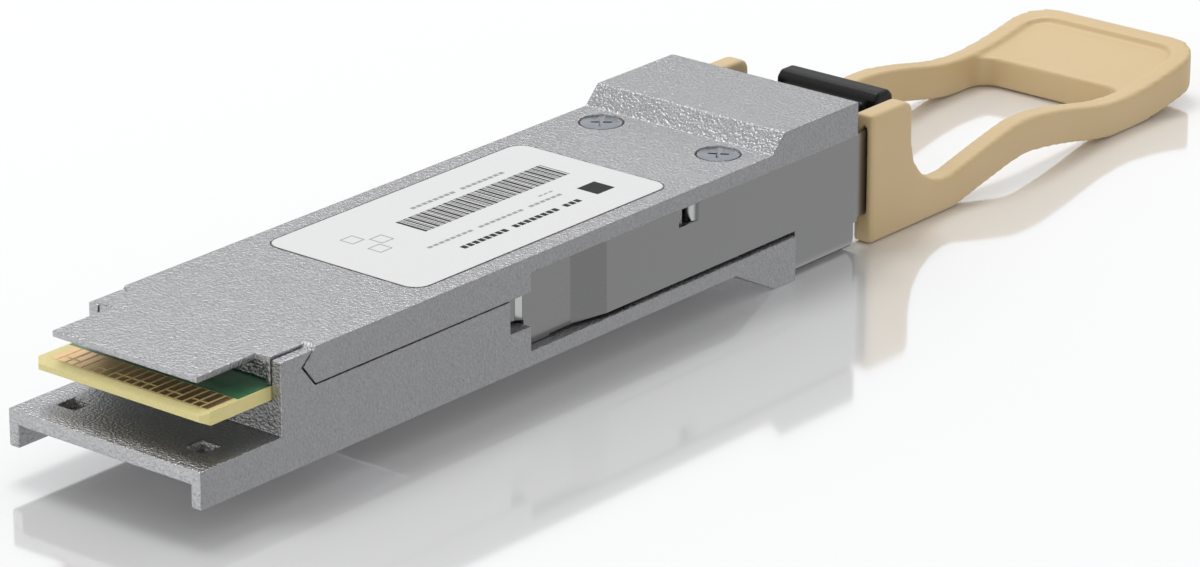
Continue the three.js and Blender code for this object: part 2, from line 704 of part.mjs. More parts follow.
addPiece('top_shell', topShell(), FINISH.casting);
addPiece('bottom_shell', bottomShell(), FINISH.casting);
addPiece('label', label(), FINISH.paper);
addPiece('circuit_board', circuitBoard(), FINISH.board);
addPiece('latch_slider', latchSlider(), FINISH.sheet);
addPiece('pull_tab', pullTab(), FINISH.tab);
addPiece('dust_plug', dustPlug(), FINISH.rubber);
addPiece('mpo_receptacle', receptacle(), FINISH.receptacle);
addPiece('port_gasket', portGasket(), FINISH.gasket);
addPiece('mt_ferrule', mtFerrule(), FINISH.ferrule);
addPiece('pin_keeper', pinKeeper(), FINISH.ferrule);
addPiece('fibre_ribbon', fibreRibbon(), FINISH.fibre);
addPiece('lens_block', lensBlock(), FINISH.lens);
addPiece('lens_clip', lensClip(), FINISH.spring);

for (const [side, hand] of SIDES) {
  const pinSpan = [KEEPER.start + 0.1, FERRULE.end + 2];
  const guidePin = pinAlongY(FERRULE.pinR, [hand * FERRULE.pinX, PORT.z], pinSpan);
  addPiece(`cover_screw_${side}`, coverScrew(hand), FINISH.screw);
  addPiece(`return_spring_${side}`, returnSpring(hand), FINISH.spring);
  addPiece(`guide_pin_${side}`, guidePin, FINISH.screw);
  addPiece(
    `seam_gasket_${side}`,
    sideBlock(hand, GASKET.across, GASKET.along, [SEAM_Z - GASKET.deep, SEAM_Z - GAP / 2]),
    FINISH.gasket,
  );
}

addPiece('laser_array', chip([0, 49.3], [3.2, 0.4, 0.2], true), FINISH.die);
addPiece('photodiode_array', chip([0, 51.4], [3.2, 0.4, 0.2], true), FINISH.die);
addPiece('laser_driver', chip([-1.1, 50.35], [1.9, 1.2, 0.3], true), FINISH.die);
addPiece('receiver_amplifier', chip([1.1, 50.35], [1.9, 1.2, 0.3], true), FINISH.die);

const RETIMER = { size: [5, 5, 0.8], y: 38 };
SIDES.forEach(([, hand], i) => {
  const name = ['retimer_transmit', 'retimer_receive'][i];
  addPiece(name, chip([hand * 3, RETIMER.y], RETIMER.size), FINISH.chip);
});
const padLow = BOARD.top + GAP + RETIMER.size[2] + GAP;
addPiece('thermal_pad', block([-5.4, 5.4], [35.7, 40.3], [padLow, CEILING_Z - GAP]), FINISH.thermal);

addPiece('microcontroller', chip([0, 26], [4, 4, 0.8]), FINISH.chip);
addPiece('memory_chip', chip([-5.2, 26], [2, 3, 0.6]), FINISH.chip);
addPiece('crystal', chip([5, 26], [2, 2.5, 0.7]), FINISH.sheet);

for (let i = 0; i < 6; i += 1) {
  const x = -5 + 2 * i;
  addPiece(`capacitor_${i + 1}`, chip([x, 18], [0.8, 1.6, 0.8]), FINISH.ceramic);
}
for (let i = 0; i < 4; i += 1) {
  const x = -4.5 + 3 * i;
  addPiece(`inductor_${i + 1}`, chip([x, 43.5], [2, 2.4, 1.0], true), FINISH.chip);
}

pieces.position.set(0, -TAB_END / 2, FOOT_DEPTH);
const transceiver = new THREE.Group();
transceiver.add(pieces);

export default transceiver;
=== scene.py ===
"""Looks for a pluggable fibre-optic transceiver module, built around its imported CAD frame.

Blender works in metres. The module's own sizes are written here in millimetres and
multiplied by MM, and the studio's sizes are in metres. In the frame x runs across the
module, y from the card edge to the pull tab, and z is up.
"""

import json
import math

import bmesh
import bpy
from mathutils import Matrix, Vector

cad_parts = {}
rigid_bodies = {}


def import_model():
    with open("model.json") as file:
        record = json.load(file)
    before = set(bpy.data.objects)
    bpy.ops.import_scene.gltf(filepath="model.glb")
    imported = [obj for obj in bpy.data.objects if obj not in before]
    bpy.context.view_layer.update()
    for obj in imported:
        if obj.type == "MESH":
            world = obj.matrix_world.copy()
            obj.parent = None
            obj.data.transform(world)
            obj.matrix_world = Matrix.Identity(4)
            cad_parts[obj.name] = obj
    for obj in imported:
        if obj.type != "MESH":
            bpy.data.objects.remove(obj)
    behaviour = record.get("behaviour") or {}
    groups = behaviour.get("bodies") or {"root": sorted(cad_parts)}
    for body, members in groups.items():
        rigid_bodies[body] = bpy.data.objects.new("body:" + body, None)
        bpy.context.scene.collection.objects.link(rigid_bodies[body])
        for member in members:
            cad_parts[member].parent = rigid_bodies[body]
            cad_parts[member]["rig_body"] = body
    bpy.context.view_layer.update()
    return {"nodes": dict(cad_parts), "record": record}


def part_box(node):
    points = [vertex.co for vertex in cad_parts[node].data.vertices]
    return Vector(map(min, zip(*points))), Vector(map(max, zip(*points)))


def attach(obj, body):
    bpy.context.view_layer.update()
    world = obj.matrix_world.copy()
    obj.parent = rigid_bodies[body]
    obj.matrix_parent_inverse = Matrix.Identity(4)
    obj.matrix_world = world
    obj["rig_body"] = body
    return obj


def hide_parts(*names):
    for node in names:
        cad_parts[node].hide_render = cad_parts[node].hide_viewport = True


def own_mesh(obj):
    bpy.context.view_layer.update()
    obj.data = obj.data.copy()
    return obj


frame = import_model()

MM = 0.001
SCENE = bpy.context.scene
NODES = frame["nodes"]
SIDES = ("left", "right")
BODY_OF_NODE = {name: node["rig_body"] for name, node in NODES.items()}
SLOT_OF_NODE = {part["node"]: part["material_slot"] for part in frame["record"]["subparts"]}

# ------------------------------------------------------------------ places from the frame

CARD_LOW, CARD_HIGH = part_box("circuit_board")
LABEL_LOW, LABEL_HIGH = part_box("label")
FERRULE_LOW, FERRULE_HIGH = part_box("mt_ferrule")
SCREW_LOW, SCREW_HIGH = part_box("cover_screw_right")


# ------------------------------------------------------------------ mesh helpers

WELD = 0.002
FLAT_BELOW = math.radians(0.6)
HARD_ABOVE = math.radians(28)


def new_piece(name, mesh, body, slot, *stands_for):
    """Links a finished mesh as a piece on a CAD body, in place of the CAD nodes named."""
    piece = bpy.data.objects.new(name, mesh)
    SCENE.collection.objects.link(piece)
    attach(piece, body)
    if stands_for:
        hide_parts(*stands_for)
    return piece


def cad_bmesh(node):
    """The CAD node as one bmesh in millimetres, its triangles welded at their corners."""
    bm = bmesh.new()
    bm.from_mesh(NODES[node].data)
    bmesh.ops.scale(bm, vec=Vector((1, 1, 1)) / MM, verts=bm.verts)
    bmesh.ops.remove_doubles(bm, verts=bm.verts, dist=WELD)
    bmesh.ops.recalc_face_normals(bm, faces=bm.faces)
    return bm


def crosses_module(edge):
    """True for an edge that runs across or up the module rather than along it."""
    run = edge.verts[1].co - edge.verts[0].co
    return abs(run.y) < 0.5 * run.length


def to_mesh(bm, name, smooth_angle=35, crease=None):
    """Turns a bmesh in millimetres into a mesh in metres, smooth below an edge angle.
    crease is a range of smaller angles whose folds across the module stay crisp too.
    All the angles are in degrees."""
    limit = math.radians(smooth_angle)
    for face in bm.faces:
        face.smooth = True
    for edge in bm.edges:
        angle = edge.calc_face_angle() if edge.is_manifold else math.pi
        edge.smooth = angle < limit
        if crease and crease[0] < math.degrees(angle) < crease[1] and crosses_module(edge):
            edge.smooth = False
    bmesh.ops.scale(bm, vec=Vector((MM, MM, MM)), verts=bm.verts)
    mesh = bpy.data.meshes.new(name)
    bm.to_mesh(mesh)
    bm.free()
    return mesh


def finish_piece(piece, *finishes):
    piece.data.materials.clear()
    for finish in finishes:
        piece.data.materials.append(finish)
    return piece


def weighted(piece):
    """Keeps big faces flat to the eye where they meet a rounded edge."""
    modifier = piece.modifiers.new("flat_faces", "WEIGHTED_NORMAL")
    modifier.keep_sharp = True
    return piece


def round_edges(bm, edges, radius, segments, finish_index):
    """Rounds some edges of a bmesh and gives the new strips their own finish, which carries a
    painted highlight.
    """
    bmesh.ops.bevel(
        bm,
        geom=edges,
        offset=radius,
        offset_type="OFFSET",
        segments=segments,
        profile=0.5,
        affect="EDGES",
        clamp_overlap=False,
        miter_outer="SHARP",
        material=finish_index,
    )


def edged_copy(node, name, radius, finishes, apart=None, crease=None):
    """A CAD shape with every hard edge rounded to a small radius, in place of the node.
    The finishes are for its faces, its rounded edges, which get a painted highlight, and the faces
    that apart picks out by their facing, which get a painted shade on the casting and a painted
    highlight on the slider."""
    bm = cad_bmesh(node)
    bmesh.ops.dissolve_limit(bm, angle_limit=FLAT_BELOW, verts=bm.verts, edges=bm.edges)
    if apart:
        for face in bm.faces:
            if apart(face.normal):
                face.material_index = 2
    edges = [e for e in bm.edges if e.is_manifold and e.calc_face_angle() > HARD_ABOVE]
    round_edges(bm, edges, radius, 2, 1)
    bmesh.ops.triangulate(bm, faces=[f for f in bm.faces if len(f.verts) > 4])
    mesh = to_mesh(bm, name, crease=crease)
    piece = new_piece(name, mesh, BODY_OF_NODE[node], SLOT_OF_NODE[node], node)
    finish_piece(piece, *finishes)
    return weighted(piece)


def moulded_copy(node, name, voxel, passes, slot):
    """A CAD shape remade as a fine even skin and eased, so its edges are moulded round."""
    bm = cad_bmesh(node)
    mesh = bpy.data.meshes.new(name + "_rough")
    bm.to_mesh(mesh)
    bm.free()
    rough = bpy.data.objects.new(name + "_rough", mesh)
    SCENE.collection.objects.link(rough)
    skin = rough.modifiers.new("skin", "REMESH")
    skin.mode = "VOXEL"
    skin.voxel_size = voxel
    ease = rough.modifiers.new("ease", "SMOOTH")
    ease.factor = 0.5
    ease.iterations = passes
    graph = bpy.context.evaluated_depsgraph_get()
    made = bpy.data.meshes.new_from_object(rough.evaluated_get(graph))
    bpy.data.objects.remove(rough)
    made.name = name
    made.transform(Matrix.Scale(MM, 4))
    made.polygons.foreach_set("use_smooth", [True] * len(made.polygons))
    return new_piece(name, made, BODY_OF_NODE[node], slot, node)


def add_slab(bm, low, high):
    """Adds a box between two corners in millimetres."""
    size = high - low
    place = Matrix.Translation((low + high) / 2) @ Matrix.Diagonal((*size, 1))
    bmesh.ops.create_cube(bm, size=1, matrix=place)


def lathe(bm, profile, centre, steps=72):
    """Adds a closed turned shape standing on z, from (radius, z) points listed upwards."""
    rings = []
    for radius, z in profile:
        if radius == 0:
            rings.append([bm.verts.new((centre.x, centre.y, z))])
            continue
        ring = []
        for i in range(steps):
            turn = 2 * math.pi * i / steps
            x = centre.x + radius * math.cos(turn)
            y = centre.y + radius * math.sin(turn)
            ring.append(bm.verts.new((x, y, z)))
        rings.append(ring)
    for lower, upper in zip(rings, rings[1:]):
        for i in range(steps):
            j = (i + 1) % steps
            corners = [
                lower[i % len(lower)],
                lower[j % len(lower)],
                upper[j % len(upper)],
                upper[i % len(upper)],
            ]
            bm.faces.new(list(dict.fromkeys(corners)))


# ------------------------------------------------------------------ material helpers

def material(name, colour, roughness, metallic=0.0, coat=0.0):
    """A node material in object space. Returns it with its tree, shader and coordinates."""
    made = bpy.data.materials.new(name)
    made.use_nodes = True
    tree = made.node_tree
    shader = tree.nodes["Principled BSDF"]
    shader.inputs["Base Color"].default_value = (*colour, 1)
    shader.inputs["Roughness"].default_value = roughness
    shader.inputs["Metallic"].default_value = metallic
    shader.inputs["Coat Weight"].default_value = coat
    where = tree.nodes.new("ShaderNodeTexCoord").outputs["Object"]
    return made, tree, shader, where


def noise(tree, where, size, detail=2.0, stretch=(1, 1, 1)):
    """Noise whose grains are about size millimetres, stretched along chosen axes."""
    mapping = tree.nodes.new("ShaderNodeMapping")
    mapping.inputs["Scale"].default_value = stretch
    texture = tree.nodes.new("ShaderNodeTexNoise")
    texture.inputs["Scale"].default_value = 1 / (size * MM)
    texture.inputs["Detail"].default_value = detail
    tree.links.new(where, mapping.inputs["Vector"])
    tree.links.new(mapping.outputs["Vector"], texture.inputs["Vector"])
    return texture.outputs["Fac"]


def mottle(tree, shader, factor, dark, light, low=0.35, high=0.65):
    """Varies the base colour between two tones."""
    ramp = tree.nodes.new("ShaderNodeValToRGB")
    ramp.color_ramp.elements[0].position = low
    ramp.color_ramp.elements[1].position = high
    ramp.color_ramp.elements[0].color = (*dark, 1)
    ramp.color_ramp.elements[1].color = (*light, 1)
    tree.links.new(factor, ramp.inputs["Fac"])
    tree.links.new(ramp.outputs["Color"], shader.inputs["Base Color"])


def spread(tree, shader, factor, low, high):
    """Varies the roughness between two values."""
    span = tree.nodes.new("ShaderNodeMapRange")
    span.inputs["To Min"].default_value = low
    span.inputs["To Max"].default_value = high
    tree.links.new(factor, span.inputs["Value"])
    tree.links.new(span.outputs["Result"], shader.inputs["Roughness"])


def relief(tree, shader, factor, height, strength=1.0):
    """A fine surface relief, height millimetres deep."""
    bump = tree.nodes.new("ShaderNodeBump")
    bump.inputs["Distance"].default_value = height * MM
    bump.inputs["Strength"].default_value = strength
    tree.links.new(factor, bump.inputs["Height"])
    tree.links.new(bump.outputs["Normal"], shader.inputs["Normal"])


def grey(value):
    return (value, value, value)


# ------------------------------------------------------------------ materials

def cool_grey(value):
    """A grey with a trace of blue, like plated zinc."""
    return (value, value, value * 1.02)


def cast_metal(name, tone, grain_size, depth, roughness):
    """Die-cast zinc with a satin plated skin and an orange-peel grain."""
    made, tree, shader, where = material(name, cool_grey(tone), roughness, 0.95)
    grain = noise(tree, where, grain_size, 2.5)
    mottle(tree, shader, grain, cool_grey(tone * 0.9), cool_grey(tone * 1.1), 0.3, 0.7)
    spread(tree, shader, grain, roughness - 0.06, roughness + 0.08)
    relief(tree, shader, grain, depth)
    return made


def painted_edge_highlight(name, tone):
    """A painted highlight: a far brighter metal tone on rounded edges, folds and recesses, standing
    in for the bright lines of light along them.
    """
    made, tree, shader, where = material(name, grey(tone), 0.24, 1.0)
    highlight_flecks = noise(tree, where, 0.6, 3)
    mottle(tree, shader, highlight_flecks, grey(tone * 0.8), grey(tone))
    spread(tree, shader, highlight_flecks, 0.2, 0.36)
    relief(tree, shader, highlight_flecks, 0.004)
    return made


def sheet_metal():
    """Smooth stamped stainless sheet with an even satin skin."""
    made, tree, shader, where = material("sheet_metal", grey(0.3), 0.21, 1.0)
    satin = noise(tree, where, 0.15, 2)
    mottle(tree, shader, satin, grey(0.294), grey(0.306))
    spread(tree, shader, satin, 0.2, 0.22)
    return made


def screw_metal():
    made, tree, shader, where = material("screw_metal", (0.29, 0.31, 0.34), 0.24, 1.0)
    fine = noise(tree, where, 0.3, 2)
    mottle(tree, shader, fine, (0.28, 0.3, 0.33), (0.3, 0.32, 0.35))
    spread(tree, shader, fine, 0.2, 0.28)
    return made


def spring_wire():
    made, tree, shader, where = material("spring_wire", grey(0.45), 0.25, 1.0)
    drawn = noise(tree, where, 0.1, 2)
    mottle(tree, shader, drawn, grey(0.38), grey(0.5))
    spread(tree, shader, drawn, 0.2, 0.34)
    return made


def tab_plastic():
    """Moulded beige nylon with a faint spark-eroded texture."""
    made, tree, shader, where = material("tab_plastic", (0.66, 0.49, 0.26), 0.42)
    shader.inputs["Subsurface Weight"].default_value = 0.04
    shader.inputs["Subsurface Radius"].default_value = (0.0012, 0.0008, 0.0004)
    texture = noise(tree, where, 0.22, 2)
    cloud = noise(tree, where, 9, 2)
    mottle(tree, shader, cloud, (0.65, 0.48, 0.25), (0.67, 0.5, 0.27))
    spread(tree, shader, texture, 0.38, 0.48)
    relief(tree, shader, texture, 0.008)
    return made


def plug_rubber():
    made, tree, shader, where = material("plug_rubber", grey(0.008), 0.45)
    shader.inputs["Specular IOR Level"].default_value = 0.25
    skin = noise(tree, where, 0.25, 2)
    mottle(tree, shader, skin, grey(0.006), grey(0.01))
    spread(tree, shader, skin, 0.36, 0.5)
    relief(tree, shader, skin, 0.01)
    return made


def label_paper():
    made, tree, shader, where = material("label_paper", grey(0.72), 0.5)
    fibres = noise(tree, where, 0.15, 3)
    mottle(tree, shader, fibres, grey(0.71), grey(0.73))
    relief(tree, shader, fibres, 0.002)
    return made


def print_ink(name, tone):
    made, tree, shader, where = material(name, grey(tone), 0.75)
    shader.inputs["Specular IOR Level"].default_value = 0.2
    dots = noise(tree, where, 0.08, 2)
    mottle(tree, shader, dots, grey(tone * 0.85), grey(tone * 1.15))
    return made


def laminate():
    """Bare glass-epoxy board: pale yellow with the weave just showing."""
    made, tree, shader, where = material("laminate", (0.75, 0.66, 0.29), 0.5)
    weave = noise(tree, where, 0.3, 2, (1, 0.4, 1))
    mottle(tree, shader, weave, (0.735, 0.645, 0.28), (0.77, 0.68, 0.3))
    relief(tree, shader, weave, 0.001)
    return made


def solder_mask():
    """Green lacquer over copper, with tracks showing as a slightly lighter tone."""
    made, tree, shader, where = material("solder_mask", (0.045, 0.19, 0.085), 0.28, coat=0.3)
    tracks = tree.nodes.new("ShaderNodeTexWave")
    tracks.bands_direction = "X"
    tracks.inputs["Scale"].default_value = 0.16 / MM
    tracks.inputs["Distortion"].default_value = 0.6
    tree.links.new(where, tracks.inputs["Vector"])
    mottle(tree, shader, tracks.outputs["Fac"], (0.042, 0.18, 0.08), (0.048, 0.2, 0.09))
    relief(tree, shader, tracks.outputs["Fac"], 0.006)
    return made


def contact_gold():
    made, tree, shader, where = material("contact_gold", (0.84, 0.55, 0.3), 0.38, 1.0)
    plating = noise(tree, where, 0.4, 2)
    mottle(tree, shader, plating, (0.82, 0.53, 0.285), (0.86, 0.57, 0.315))
    spread(tree, shader, plating, 0.36, 0.4)
    return made


def plain(name, colour, roughness, metallic=0.0, grain=0.2, depth=0.004):
    """A simpler moulded, ceramic or rubber finish for the pieces inside."""
    made, tree, shader, where = material(name, colour, roughness, metallic)
    speck = noise(tree, where, grain, 2)
    dark = tuple(c * 0.85 for c in colour)
    light = tuple(min(1, c * 1.12) for c in colour)
    mottle(tree, shader, speck, dark, light)
    spread(tree, shader, speck, roughness * 0.85, min(1, roughness * 1.15))
    relief(tree, shader, speck, depth)
    return made


FINISH = {
    "casting": cast_metal("cast_metal", 0.385, 0.22, 0.15, 0.34),
    "sheet": sheet_metal(),
    "screw": screw_metal(),
    "spring": spring_wire(),
    "tab": tab_plastic(),
    "board": laminate(),
    "paper": label_paper(),
    "rubber": plug_rubber(),
    "chip": plain("moulded_package", grey(0.018), 0.5),
    "die": plain("polished_die", (0.09, 0.1, 0.14), 0.2, 0.6, 0.1, 0.001),
    "lens": plain("amber_polymer", (0.5, 0.2, 0.03), 0.16, 0.0, 0.5, 0.001),
    "fibre": plain("ribbon_jacket", (0.2, 0.55, 0.57), 0.38, 0.0, 0.3, 0.004),
    "ferrule": plain("filled_polymer", grey(0.03), 0.38),
    "receptacle": plain("port_polymer", grey(0.02), 0.45),
    "gasket": plain("conductive_foam", grey(0.1), 0.85, 0.1, 0.12, 0.03),
    "thermal": plain("gap_pad", (0.32, 0.45, 0.58), 0.8, 0.0, 0.3, 0.02),
    "ceramic": plain("ceramic_body", (0.4, 0.27, 0.14), 0.5),
}
# A painted shade: a darker copy of the cast metal, with a rougher, coarser grain, for the slopes
# that face forwards and up.
CAST_SLOPE_SHADE = cast_metal("cast_slope_shade", 0.3, 0.26, 0.15, 0.42)
# Painted highlights: much brighter metal for rounded edges, the rolled tab and the screws' cross
# recesses.
CAST_EDGE_HIGHLIGHT = painted_edge_highlight("cast_edge_highlight", 0.9)
SHEET_EDGE_HIGHLIGHT = painted_edge_highlight("sheet_edge_highlight", 0.85)
MASK = solder_mask()
GOLD = contact_gold()
BLACK_INK = print_ink("black_ink", 0.03)
GREY_INK = print_ink("grey_ink", 0.34)
GLASS_FIBRE = plain("fibre_glass", (0.75, 0.85, 0.9), 0.08, 0.0, 0.1, 0.0005)


# ------------------------------------------------------------------ shells, slider and mouldings

CAST_RADIUS = 0.13
SHEET_RADIUS = 0.05
# The range of fold angles, in degrees, that takes in the slider's jog.
JOG_CREASE = (9, 12)


def is_forward_slope(normal):
    """True on a slope that faces forwards and up, like the ramp in front of the head. These faces
    get a darker, rougher copy of the cast metal, a painted shade.
    """
    return normal.y < -0.6 and normal.z > 0.6


def make_shells():
    # Rounded edges get a painted highlight and forward slopes a darker painted shade.
    finishes = FINISH["casting"], CAST_EDGE_HIGHLIGHT, CAST_SLOPE_SHADE
    edged_copy("top_shell", "cover_casting", CAST_RADIUS, finishes, is_forward_slope)
    edged_copy("bottom_shell", "base_casting", CAST_RADIUS, finishes, is_forward_slope)


def is_rolled_tab(normal):
    """True on the outside of a tab that is rolled inwards, turned forwards and outwards. These faces
    get the bright edge metal, a painted highlight.
    """
    return abs(normal.z) < 0.1 and normal.y < -0.2 and abs(normal.x) > 0.2


def make_slider():
    # Rounded edges and the rolled tab's bend get a bright painted highlight.
    finishes = FINISH["sheet"], SHEET_EDGE_HIGHLIGHT, SHEET_EDGE_HIGHLIGHT
    edged_copy(
        "latch_slider",
        "slider_sheet",
        SHEET_RADIUS,
        finishes,
        is_rolled_tab,
        JOG_CREASE,
    )


def make_soft_moulds():
    tab = moulded_copy("pull_tab", "pull_tab_moulding", 0.18, 7, "tab")
    finish_piece(tab, FINISH["tab"])
    plug = moulded_copy("dust_plug", "dust_plug_moulding", 0.14, 8, "rubber")
    finish_piece(plug, FINISH["rubber"])


# ------------------------------------------------------------------ screws

SHANK = {"radius": 0.8, "chamfer": 0.15, "below_top": 0.75}
# The head's rounded rim: how far in from its edge and down from its top.
RIM = ((0.04, 0.16), (0, 0.1), (0.03, 0.03), (0.1, 0))
CROSS = {"reach": 0.96, "half_width": 0.14, "depth": 0.15, "taper": 0.35, "above": 0.05}
CROSS_TURN = {"left": math.radians(37), "right": math.radians(32)}


def screw_blank(centre, top, bottom):
    """A countersunk screw without its drive recess."""
    radius = (SCREW_HIGH.x - SCREW_LOW.x) / 2 / MM
    bm = bmesh.new()
    profile = [
        (0, bottom),
        (SHANK["radius"] - SHANK["chamfer"], bottom),
        (SHANK["radius"], bottom + SHANK["chamfer"]),
        (SHANK["radius"], top - SHANK["below_top"]),
        *[(radius - inwards, top - down) for inwards, down in RIM],
        (0, top),
    ]
    lathe(bm, profile, centre)
    return bm


def cross_cutter(centre, top, turn):
    """A tapering cross, the shape that a driver's point leaves in a screw head."""
    bm = bmesh.new()
    for quarter in (0, math.pi / 2):
        size = Vector((2 * CROSS["reach"], 2 * CROSS["half_width"], 2 * CROSS["depth"]))
        made = bmesh.ops.create_cube(bm, size=1, matrix=Matrix.Diagonal((*size, 1)))
        for vert in made["verts"]:
            if vert.co.z < 0:
                vert.co.x *= CROSS["taper"]
        spin = Matrix.Rotation(turn + quarter, 4, "Z")
        middle_z = top + CROSS["above"] - CROSS["depth"]
        move = Matrix.Translation((centre.x, centre.y, middle_z))
        bmesh.ops.transform(bm, matrix=move @ spin, verts=made["verts"])
    return bm


def make_screws():
    top = SCREW_HIGH.z / MM
    bottom = SCREW_LOW.z / MM
    for side in SIDES:
        turn = CROSS_TURN[side]
        low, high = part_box(f"cover_screw_{side}")
        centre = (low + high) / 2 / MM
        blank = bpy.data.objects.new("blank", to_mesh(screw_blank(centre, top, bottom), "blank"))
        cutter = bpy.data.objects.new("cutter", to_mesh(cross_cutter(centre, top, turn), "cutter"))
        for tool in (blank, cutter):
            SCENE.collection.objects.link(tool)
        cut = blank.modifiers.new("cross", "BOOLEAN")
        cut.operation = "DIFFERENCE"
        cut.solver = "EXACT"
        cut.use_self = True
        cut.object = cutter
        graph = bpy.context.evaluated_depsgraph_get()
        cut_mesh = blank.evaluated_get(graph).to_mesh()
        bm = bmesh.new()
        bm.from_mesh(cut_mesh)
        bmesh.ops.scale(bm, vec=Vector((1, 1, 1)) / MM, verts=bm.verts)
        # The recess's own faces lie below the top and within reach of the cross. They get the bright
        # edge metal, a painted highlight.
        for face in bm.faces:
            middle = face.calc_center_median()
            off_axis = math.hypot(middle.x - centre.x, middle.y - centre.y)
            in_head = top - 2 * CROSS["depth"] < middle.z < top - 0.01
            if in_head and off_axis < CROSS["reach"] + 0.02:
                face.material_index = 1
        for tool in (blank, cutter):
            bpy.data.objects.remove(tool)
        name = f"phillips_screw_{side}"
        mesh = to_mesh(bm, name, 30)
        piece = weighted(new_piece(name, mesh, "housing", "screw", f"cover_screw_{side}"))
        finish_piece(piece, FINISH["screw"], CAST_EDGE_HIGHLIGHT)


# ------------------------------------------------------------------ card edge

CONTACT_PITCH = 0.8
CONTACT_HALF = 0.29
# Each row stands this far off the card's middle, to the opposite side on the other face.
CONTACT_SHIFT = 0.2
CONTACT_COUNT = 19
# Ground contacts run unbroken. The others have a short break near the card's edge.
GROUND_POSITIONS = (1, 4, 7, 13, 16, 19)
CONTACT_START = 0.8
CONTACT_SPLIT = (1.5, 1.7)
CONTACT_END = 3.37
COPPER_THICK = 0.025
MASK_START = 3.45
MASK_INSET = 0.12
MASK_THICK = 0.03
# How far a coating starts below the face that it lies on.
COATING_SINK = 0.01
BOARD_REAR_HALF = 6.2
BOARD_SHOULDER = 28.8


def contact_spans(position):
    """The lengths of bare copper in one contact, from the card's edge inwards."""
    if position in GROUND_POSITIONS:
        return [(CONTACT_START, CONTACT_END)]
    return [(CONTACT_START, CONTACT_SPLIT[0]), (CONTACT_SPLIT[1], CONTACT_END)]


def make_contacts(name, face, shift):
    """One face's row of gold contacts, standing face up (1) or down (-1)."""
    surface = (CARD_HIGH.z if face > 0 else CARD_LOW.z) / MM
    middle = (CONTACT_COUNT + 1) / 2
    edge = CARD_LOW.y / MM
    bm = bmesh.new()
    z0, z1 = sorted((surface - face * COATING_SINK, surface + face * COPPER_THICK))
    for position in range(1, CONTACT_COUNT + 1):
        x = shift + CONTACT_PITCH * (position - middle)
        for start, end in contact_spans(position):
            low = Vector((x - CONTACT_HALF, edge + start, z0))
            high = Vector((x + CONTACT_HALF, edge + end, z1))
            add_slab(bm, low, high)
    finish_piece(new_piece(name, to_mesh(bm, name, 15), "housing", None), GOLD)


def make_mask(name, face):
    """The solder mask over one face of the board, with its narrower rear part."""
    surface = (CARD_HIGH.z if face > 0 else CARD_LOW.z) / MM
    z0, z1 = sorted((surface - face * COATING_SINK, surface + face * MASK_THICK))
    half = CARD_HIGH.x / MM - MASK_INSET
    rear_half = BOARD_REAR_HALF - MASK_INSET
    front = CARD_LOW.y / MM + MASK_START
    shoulder = CARD_LOW.y / MM + BOARD_SHOULDER - MASK_INSET
    rear = CARD_HIGH.y / MM - MASK_INSET
    outline = [
        (-half, front),
        (half, front),
        (half, shoulder),
        (rear_half, shoulder),
        (rear_half, rear),
        (-rear_half, rear),
        (-rear_half, shoulder),
        (-half, shoulder),
    ]
    bm = bmesh.new()
    floor_face = bm.faces.new([bm.verts.new((x, y, z0)) for x, y in outline])
    raised = bmesh.ops.extrude_face_region(bm, geom=[floor_face])
    lifted = [v for v in raised["geom"] if isinstance(v, bmesh.types.BMVert)]
    bmesh.ops.translate(bm, vec=(0, 0, z1 - z0), verts=lifted)
    bmesh.ops.recalc_face_normals(bm, faces=bm.faces)
    finish_piece(new_piece(name, to_mesh(bm, name, 15), "housing", "board"), MASK)


def make_card():
    make_contacts("contacts_top", 1, CONTACT_SHIFT)
    make_contacts("contacts_bottom", -1, -CONTACT_SHIFT)
    make_mask("solder_mask_top", 1)
    make_mask("solder_mask_bottom", -1)


# ------------------------------------------------------------------ label print

INK_THICK = 0.008
INK_SINK = 0.004
BARS = {"across": (-2.95, 0.0), "along": (9.25, 25.7), "unit": 0.118}
BAR_WIDTHS = (2.2, 0.7, 0.7, 1.6, 0.7)
BAR_SPACES = (1.0, 0.8, 1.2, 0.9, 1.5, 0.8, 1.1)
# Each strip of dashes: its two edges across the label, its two ends along it, and its ink.
STRIPS = (
    (3.75, 4.75, 8.3, 21.6, "black_ink"),
    (2.0, 2.75, 6.7, 21.7, "grey_ink"),
    (1.15, 1.75, 20.1, 21.8, "grey_ink"),
    (-4.4, -3.6, 12.1, 23.2, "grey_ink"),
)
# A strip's dashes come in words of eight, with one place left out after each.
DASH = {"pitch": 0.62, "inset": 0.22, "gap": 0.08, "word": 8}
SQUARES = ((-3.6, 3.9), (-2.1, 5.4), (-0.9, 3.9))
PATCH = (2.5, 4.5, 23.3, 25.3)


def print_piece(name, bm, ink):
    finish_piece(new_piece(name, to_mesh(bm, name, 15), "housing", "paper"), ink)


def ink_slab(bm, x0, x1, y0, y1):
    """A patch of print, placed from the label's front edge."""
    top = LABEL_HIGH.z / MM
    front = LABEL_LOW.y / MM
    low = Vector((x0, front + y0, top - INK_SINK))
    add_slab(bm, low, Vector((x1, front + y1, top + INK_THICK)))


def make_bars():
    """A generic run of bars whose widths follow a simple repeating rule."""
    bm = bmesh.new()
    unit = BARS["unit"]
    start, end = BARS["along"]
    y = start
    step = 0
    while y < end - 2 * unit:
        width = unit * BAR_WIDTHS[step % len(BAR_WIDTHS)]
        space = unit * BAR_SPACES[step % len(BAR_SPACES)]
        ink_slab(bm, *BARS["across"], y, min(y + width, end))
        y += width + space
        step += 1
    print_piece("label_bars", bm, BLACK_INK)


